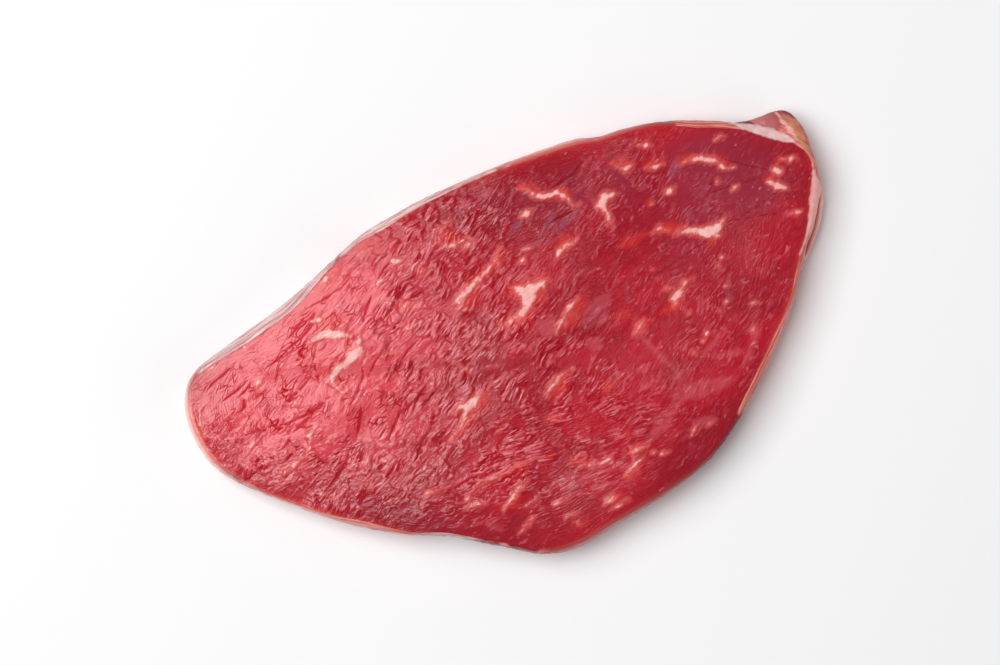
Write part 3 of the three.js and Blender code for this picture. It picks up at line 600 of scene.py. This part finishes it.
scale = node(relief, "ShaderNodeMath", {0: 1.0, 1: given["Tear Spacing"]}, operation="DIVIDE")
tears = node(relief, "ShaderNodeTexVoronoi", {"Vector": grained, "Scale": scale}, feature="DISTANCE_TO_EDGE")
tears = node(relief, "ShaderNodeMath", {0: tears.outputs[0], 1: given["Tear Spacing"]}, operation="MULTIPLY")
tears = node(relief, "ShaderNodeMapRange", {
    "Value": tears, "From Min": 0.0, "From Max": given["Tear Width"], "To Min": -1.0, "To Max": 0.0},
    interpolation_type="SMOOTHSTEP")
tears = node(relief, "ShaderNodeMath", {0: tears, 1: laid["torn"]}, operation="MULTIPLY")
main_tears = node(relief, "ShaderNodeMapRange", {
    "Value": laid["tear"], "From Min": 0.0, "From Max": 1.4, "To Min": -1.3, "To Max": 0.0},
    interpolation_type="SMOOTHSTEP")
tears = node(relief, "ShaderNodeMath", {0: tears, 1: main_tears}, operation="ADD")

scale = node(relief, "ShaderNodeMath", {0: 1.0, 1: given["Rag Size"]}, operation="DIVIDE")
rags = node(relief, "ShaderNodeTexNoise", {"Vector": position, "Scale": scale, "Detail": 3.0})
rags = node(relief, "ShaderNodeMath", {0: rags.outputs[0], 1: 0.5}, operation="SUBTRACT")
side = node(relief, "ShaderNodeMapRange", {
    "Value": laid["from_rim"], "From Min": 0.5, "From Max": -1.5})
rags = node(relief, "ShaderNodeMath", {0: rags, 1: side}, operation="MULTIPLY")

flecks = node(relief, "ShaderNodeMapRange", {
    "Value": laid["marbling"], "From Min": 0.8, "From Max": -0.8}, interpolation_type="SMOOTHSTEP")

height = lumps
for shape, depth in (
        (folds, "Fold Depth"), (tears, "Tear Depth"), (rags, "Rag Depth"), (flecks, "Film Rise")):
    height = node(relief, "ShaderNodeMath", {0: shape, 1: given[depth], 2: height}, operation="MULTIPLY_ADD")
height = node(relief, "ShaderNodeMath", {0: height, 1: laid["soft"]}, operation="MULTIPLY")
offset = node(relief, "ShaderNodeVectorMath", {
    0: node(relief, "GeometryNodeInputNormal"), "Scale": height}, operation="SCALE")
shaped = node(relief, "GeometryNodeSetPosition", {"Geometry": given["Geometry"], "Offset": offset})
shaped = node(relief, "GeometryNodeRealizeInstances", {"Geometry": shaped})
shaped = node(relief, "GeometryNodeSetMaterial", {"Geometry": shaped, "Material": given["Material"]})
node(relief, "NodeGroupOutput", {"Geometry": shaped})


# sRGB hex to linear.
def colour(hexadecimal):
    parts = [int(hexadecimal[k:k + 2], 16) / 255 for k in (1, 3, 5)]
    return (*[c / 12.92 if c <= 0.04045 else ((c + 0.055) / 1.055) ** 2.4 for c in parts], 1)


# Raw beef, freshly cut: moist lean meat under a thin film of its own juice, so it looks soft and deep red,
# lets light in a little, and mirrors the lamp in pale streaks on every fold. Part of that light is painted
# into its colour as well: sheen, highlights on the ridges and glints, shade in the furrows and cracks, and
# light on the rim and side.
beef = bpy.data.materials.new("raw_beef_moist_cut")
beef.use_nodes = True
tree = beef.node_tree
tree.nodes.clear()
laid = {name: node(tree, "ShaderNodeAttribute", attribute_name=name).outputs["Fac"] for name in fields}

# Places in millimetres: as they are, bent as in the relief, bent more slowly, and drawn out along the grain.
SLOW_BEND = 6
SLOW_BEND_SIZE = 13
FIBRES_DRAWN_OUT = (0.22, 1, 1)
place = node(tree, "ShaderNodeTexCoord").outputs["Object"]
place = node(tree, "ShaderNodeVectorMath", {0: place, "Scale": 1000.0}, operation="SCALE")
drift = node(tree, "ShaderNodeTexNoise", {"Vector": place, "Scale": 1 / BEND_SIZE, "Detail": 3.0})
drift = node(tree, "ShaderNodeVectorMath", {
    0: drift.outputs["Color"], 1: (0.5, 0.5, 0.5)}, operation="SUBTRACT")
drifting = node(tree, "ShaderNodeVectorMath", {
    0: drift, 1: (BEND,) * 3, 2: place}, operation="MULTIPLY_ADD")
slow_drift = node(tree, "ShaderNodeTexNoise", {
    "Vector": place, "Scale": 1 / SLOW_BEND_SIZE, "Detail": 1.0})
slow_drift = node(tree, "ShaderNodeVectorMath", {
    0: slow_drift.outputs["Color"], 1: (0.5, 0.5, 0.5)}, operation="SUBTRACT")
slowly = node(tree, "ShaderNodeVectorMath", {
    0: slow_drift, 1: (SLOW_BEND,) * 3, 2: place}, operation="MULTIPLY_ADD")
bent = node(tree, "ShaderNodeVectorRotate", {"Vector": slowly, "Angle": -GRAIN}, rotation_type="Z_AXIS")
turned = node(tree, "ShaderNodeVectorRotate", {"Vector": drifting, "Angle": -GRAIN}, rotation_type="Z_AXIS")
grained = node(tree, "ShaderNodeVectorMath", {0: turned, 1: DRAWN_OUT}, operation="MULTIPLY")
fibrous = node(tree, "ShaderNodeVectorMath", {0: turned, 1: FIBRES_DRAWN_OUT}, operation="MULTIPLY")
round_side = node(tree, "ShaderNodeCombineXYZ", {
    "X": laid["way"], "Y": laid["from_rim"], "Z": laid["down"]})
round_side = node(tree, "ShaderNodeVectorMath", {0: round_side, 1: (0.08, 1.3, 6)}, operation="MULTIPLY")

# Cloudy patterns: where they lie, their size in millimetres, and their detail. Single muscle fibres are
# too fine to show, so bundles of them are drawn, a little over a millimetre wide.
cloud = {}
for name, where, size, detail in (
        ("broad", drifting, 24, 2), ("blotch", drifting, 7, 2), ("patchy", place, 8, 2),
        ("fibres", fibrous, 1.2, 3), ("fray", grained, 2.0, 4), ("swirl", drifting, 3.5, 2),
        ("skin", round_side, 1, 3)):
    made = node(tree, "ShaderNodeTexNoise", {"Vector": where, "Scale": 1 / size, "Detail": detail})
    cloud[name] = made.outputs[0]

# Folds and finer wrinkles: how far they are turned from the grain, how much they are drawn out, and their
# width in millimetres. Those across take over where the folds are turned.
streaks = {}
for name, turn, stretch, size in (
        ("along", 0.15, 0.17, 1.5), ("across", -0.5, 0.17, 1.5),
        ("fine_along", 0, 0.13, 0.8), ("fine_across", -0.4, 0.13, 0.8)):
    streaked = node(tree, "ShaderNodeVectorRotate", {
        "Vector": slowly, "Angle": -GRAIN - turn}, rotation_type="Z_AXIS")
    streaked = node(tree, "ShaderNodeVectorMath", {0: streaked, 1: (stretch, 1, 1)}, operation="MULTIPLY")
    made = node(tree, "ShaderNodeTexNoise", {"Vector": streaked, "Scale": 1 / size, "Detail": 1.5})
    streaks[name] = made.outputs[0]
turned_folds = node(tree, "ShaderNodeMapRange", {
    "Value": laid["folds_turn"], "From Min": -0.08, "From Max": -0.4})
folds = node(tree, "ShaderNodeMix", {
    0: turned_folds, 2: streaks["along"], 3: streaks["across"]}).outputs[0]
wrinkles = node(tree, "ShaderNodeMix", {
    0: turned_folds, 2: streaks["fine_along"], 3: streaks["fine_across"]}).outputs[0]

# Cracks, long and narrow ones and the edges of broader cells, which open and close along their way. Their
# widths are in millimetres.
opening = node(tree, "ShaderNodeMapRange", {
    "Value": cloud["patchy"], "From Min": 0.4, "From Max": 0.62, "To Min": -0.05, "To Max": 0.1})
cracks = {}
for name, stretch, size in (("strokes", 0.2, 2.6), ("cells", 0.4, 5)):
    stretched = node(tree, "ShaderNodeVectorMath", {0: bent, 1: (stretch, 1, 1)}, operation="MULTIPLY")
    crack = node(tree, "ShaderNodeTexVoronoi", {
        "Vector": stretched, "Scale": 1 / size}, feature="DISTANCE_TO_EDGE")
    crack = node(tree, "ShaderNodeMath", {0: crack, 1: size}, operation="MULTIPLY")
    cracks[name] = node(tree, "ShaderNodeMath", {0: crack, 1: opening}, operation="SUBTRACT")

# The edges of all fat are frayed along the grain, by this much in millimetres.
frayed = {}
for name, amount in (
        ("marbling", 4.2), ("glow", 4), ("tear", 0.8), ("sheen_streaks_painted", 5), ("vein", 4), ("seam", 1.6), ("cap", 1.6),
        ("cap_edge", 2), ("flap", 1)):
    shift = node(tree, "ShaderNodeMath", {
        0: cloud["fray"], 1: amount, 2: -amount / 2}, operation="MULTIPLY_ADD")
    frayed[name] = node(tree, "ShaderNodeMath", {0: laid[name], 1: shift}, operation="ADD")
fat_side = node(tree, "ShaderNodeMath", {0: laid["fat"], 1: cloud["blotch"]}, operation="SUBTRACT")
from_fat = node(tree, "ShaderNodeMath", {0: cloud["fray"], 1: 5, 2: -2.5}, operation="MULTIPLY_ADD")
from_fat = node(tree, "ShaderNodeMath", {0: laid["from_rim"], 1: from_fat}, operation="ADD")
skin_side = node(tree, "ShaderNodeMath", {0: laid["silver_skin"], 1: cloud["blotch"]}, operation="SUBTRACT")

# How much each finish shows: what it follows, where it begins and is full, and how strong it is.
show = {}
for name, follows, begins, full, strength in (
        ("bright", cloud["broad"], 0.38, 0.62, 1), ("fibres", cloud["fibres"], 0.35, 0.7, 0.35),
        # The folds' ridges and glints are painted highlights and their furrows painted shade.
        ("patchy", cloud["patchy"], 0.4, 0.56, 1), ("ridge_highlights_painted", folds, 0.54, 0.59, 0.55),
        ("furrows_painted_shade", folds, 0.47, 0.41, 1), ("glints", wrinkles, 0.58, 0.65, 0.65),
        ("strokes", cracks["strokes"], 0.06, -0.06, 1), ("cells", cracks["cells"], 0.06, -0.06, 1),
        ("tear", frayed["tear"], 0.4, 0, 0.9), ("sheen_streaks_painted", frayed["sheen_streaks_painted"], 1.5, -1.5, 0.4),
        ("vein", frayed["vein"], 1, -1.2, 0.5), ("glow", frayed["glow"], 2.4, -2, 0.55),
        ("thin_fat", frayed["marbling"], 1.9, -0.6, 0.7), ("fleck", frayed["marbling"], 0.05, -1.1, 1),
        ("speck", cloud["fray"], 0.64, 0.72, 0.35), ("purple", laid["purple"], 0, 1, 0.6),
        ("dark", laid["dark"], 0, 1, 0.8), ("painted_sheen", laid["painted_sheen"], 0, 1, 0.9),
        ("rim", laid["from_rim"], 2.4, 0, 0.35), ("outer_painted_light", laid["from_rim"], -1, -2.8, 1),
        ("side", laid["from_rim"], 0.4, -0.8, 0.9), ("fat_rim", from_fat, 2.4, -0.6, 0.85),
        ("fat_side", fat_side, 0, 0.2, 1), ("skin_side", skin_side, -0.1, 0.3, 0.9),
        ("skin", cloud["skin"], 0.4, 0.62, 1), ("seam", frayed["seam"], 0.6, -0.4, 0.9),
        ("cap", frayed["cap"], 0.5, -0.5, 0.95), ("cap_edge", frayed["cap_edge"], 0.6, -0.5, 0.85),
        ("flap", frayed["flap"], 0.6, -0.3, 0.95)):
    show[name] = node(tree, "ShaderNodeMapRange", {
        "Value": follows, "From Min": begins, "From Max": full, "To Max": strength},
        interpolation_type="SMOOTHSTEP").outputs[0]
creased = node(tree, "ShaderNodeMath", {0: laid["creased"], 1: show["patchy"]}, operation="MULTIPLY")
for name, first, second in (
        ("ridge_highlights_painted", show["ridge_highlights_painted"], creased), ("furrows_painted_shade", show["furrows_painted_shade"], creased),
        ("glints", show["glints"], creased), ("rim", show["rim"], laid["painted_rim_light"]),
        ("outer_painted_light", show["outer_painted_light"], laid["painted_rim_light"]), ("fat_rim", show["fat_rim"], show["fat_side"]),
        ("skin_rim", show["side"], show["skin_side"])):
    show[name] = node(tree, "ShaderNodeMath", {0: first, 1: second}, operation="MULTIPLY")
torn = node(tree, "ShaderNodeMath", {0: show["strokes"], 1: show["cells"]}, operation="MAXIMUM")
torn = node(tree, "ShaderNodeMath", {0: torn, 1: laid["torn"]}, operation="MULTIPLY")
torn = node(tree, "ShaderNodeMath", {0: torn, 1: show["tear"]}, operation="MAXIMUM")

# The film of juice, which mirrors the lamp: it is broken in tears and furrows.
juice = laid["wet"]
for gap, strength in ((torn, 0.9), (show["furrows_painted_shade"], 0.8)):
    kept = node(tree, "ShaderNodeMath", {0: gap, 1: -strength, 2: 1.0}, operation="MULTIPLY_ADD")
    juice = node(tree, "ShaderNodeMath", {0: juice, 1: kept}, operation="MULTIPLY")

# Two-tone finishes: what the tone follows, its darker end and its paler end.
tone = {}
for name, follows, darker, paler in (
        ("skin", show["skin"], "#c98f90", "#edd2cf"), ("seam_fat", cloud["swirl"], "#cf9696", "#f6e2df"),
        ("fat", cloud["swirl"], "#ea8a84", "#f6cdc8"), ("side_fat", show["skin"], "#cf5a50", "#e89a8c"),
        ("cap_fat", cloud["swirl"], "#a85d42", "#dda080"),
        # The side lean is painted paler where the painted rim light lies.
        ("side_lean_painted_light", laid["painted_rim_light"], "#8c1824", "#ee8f88"),
        # The crack tone is painted shade: a darker red for the cracks and tears, paler where painted sheen
        # lies.
        ("crack", laid["painted_sheen"], "#8a1422", "#bc1424"), ("lean", show["bright"], "#9c1826", "#b21a29")):
    tone[name] = node(tree, "ShaderNodeMixRGB", {
        "Fac": follows, "Color1": colour(darker), "Color2": colour(paler)})

# Colours, laid over each other from the lean to the fat.
meat = tone["lean"]
for share, hue in (
        (show["fibres"], colour("#c93543")), (show["dark"], colour("#8f1a28")),
        # The pale red #e24a55 is painted sheen: the lamp mirrored in the juice film.
        (show["purple"], colour("#933246")), (show["painted_sheen"], colour("#e24a55")),
        # The pale red #cf5d68 is painted sheen in soft strands.
        (show["sheen_streaks_painted"], colour("#cf5d68")), (show["vein"], colour("#985066")),
        # Painted shade: dark red #a00f1e in the furrows. Painted highlight: pale red #dc6672 on the ridges.
        (show["furrows_painted_shade"], colour("#a00f1e")), (show["ridge_highlights_painted"], colour("#dc6672")),
        # Painted highlights: pale glints #ec969c on the fine wrinkles.
        (show["glints"], colour("#ec969c")), (show["glow"], colour("#dc3a30")),
        # The orange-red #e2553f along the rim of the face is painted light shining through the edge.
        (show["rim"], colour("#e2553f")), (torn, tone["crack"]), (show["thin_fat"], colour("#e06460")),
        (show["speck"], colour("#e58d8c")), (show["fleck"], tone["fat"]), (show["side"], tone["side_lean_painted_light"]),
        # The pale pink #fac4bc on the outer side wall is painted light.
        (show["outer_painted_light"], colour("#fac4bc")), (show["fat_rim"], tone["side_fat"]),
        (show["skin_rim"], tone["skin"]), (show["flap"], colour("#7e2a35")), (show["cap"], tone["cap_fat"]),
        (show["seam"], tone["seam_fat"]), (show["cap_edge"], tone["fat"])):
    meat = node(tree, "ShaderNodeMixRGB", {"Fac": share, "Color1": meat, "Color2": hue})

# Heights in millimetres of what the mesh is too coarse to hold.
waves = node(tree, "ShaderNodeMath", {0: folds, 1: creased}, operation="MULTIPLY")
fine_waves = node(tree, "ShaderNodeMath", {0: wrinkles, 1: laid["creased"]}, operation="MULTIPLY")
fine = 0.0
for shape, height in (
        (waves, 0.8), (fine_waves, 0.3), (torn, -0.1), (cloud["fibres"], 0.03), (show["skin"], 0.05)):
    fine = node(tree, "ShaderNodeMath", {0: shape, 1: height, 2: fine}, operation="MULTIPLY_ADD")
film = node(tree, "ShaderNodeBump", {"Height": fine, "Distance": 1 * MM, "Strength": 1.0})

flesh = node(tree, "ShaderNodeBsdfPrincipled", {
    "Base Color": meat, "Roughness": 0.5, "IOR": 1.4, "Specular IOR Level": 0.0,
    "Subsurface Weight": 0.2, "Subsurface Radius": (1.0, 0.25, 0.2), "Subsurface Scale": 2 * MM,
    "Coat Weight": juice, "Coat Roughness": 0.06, "Coat IOR": 1.52, "Coat Normal": film, "Normal": film})
node(tree, "ShaderNodeOutputMaterial", {"Surface": flesh})

modifier = steak.modifiers.new("relief", "NODES")
modifier.node_group = relief
for name, value in RELIEF.items():
    modifier[sockets[name]] = value
modifier[sockets["Material"]] = beef
evaluated = steak.evaluated_get(bpy.context.evaluated_depsgraph_get())
shaped_mesh = bpy.data.meshes.new_from_object(evaluated)
steak.modifiers.clear()
steak.data = shaped_mesh
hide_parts("steak")
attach(steak, "root")


# The table: a wide pale sheet, matt and nearly white.
table_mesh = bpy.data.meshes.new("table")
HALF_TABLE = 4
table_corners = [(x * HALF_TABLE, y * HALF_TABLE, 0) for x, y in ((-1, -1), (1, -1), (1, 1), (-1, 1))]
table_mesh.from_pydata(table_corners, [], [(0, 1, 2, 3)])
table = bpy.data.objects.new("table", table_mesh)
bpy.context.collection.objects.link(table)
paper = bpy.data.materials.new("white_matt_board")
paper.use_nodes = True
paper.node_tree.nodes["Principled BSDF"].inputs["Base Color"].default_value = colour("#f4f4f5")
paper.node_tree.nodes["Principled BSDF"].inputs["Roughness"].default_value = 0.9
paper.node_tree.nodes["Principled BSDF"].inputs["Specular IOR Level"].default_value = 0.1
table_mesh.materials.append(paper)

# The light: one large softbox to the upper left, whose reflection lies on the left of the steak, a
# dimmer panel low on the other side, and an even pale room.
TURN = radians(24)
picture_right = Vector((cos(TURN), -sin(TURN), 0))
picture_up = Vector((sin(TURN), cos(TURN), 0))


def soft_light(name, towards, lean_over, distance, width, height, radiance):
    data = bpy.data.lights.new(name, "AREA")
    data.shape = "RECTANGLE"
    data.size, data.size_y = width, height
    data.energy = radiance * pi * width * height
    light = bpy.data.objects.new(name, data)
    bpy.context.collection.objects.link(light)
    direction = towards.normalized() * sin(lean_over) + Vector((0, 0, cos(lean_over)))
    light.location = direction * distance
    light.rotation_euler = direction.to_track_quat("Z", "Y").to_euler()


soft_light("softbox", picture_up * 0.34 - picture_right * 0.94, lean_over=radians(29),
           distance=2.2, width=1.75, height=1.75, radiance=5.4)
soft_light("panel", picture_right - picture_up * 0.3, lean_over=radians(66),
           distance=2.2, width=2.6, height=1.5, radiance=1.0)

world = bpy.data.worlds.new("pale_room")
world.use_nodes = True
world.node_tree.nodes["Background"].inputs["Color"].default_value = (1, 1, 1, 1)
world.node_tree.nodes["Background"].inputs["Strength"].default_value = 0.18
bpy.context.scene.world = world
bpy.context.scene.view_settings.view_transform = "Standard"

# The camera hangs straight above the steak, turned so that the steak rises to the right.
camera_data = bpy.data.cameras.new("overhead")
camera_data.lens = 100
camera_data.sensor_width = 36
camera = bpy.data.objects.new("overhead", camera_data)
bpy.context.collection.objects.link(camera)
camera.location = ((EYE_OVER[0] - middle[0]) * MM, (EYE_OVER[1] - middle[1]) * MM, EYE_HEIGHT * MM)
camera.rotation_euler = (0, 0, -TURN)
bpy.context.scene.camera = camera
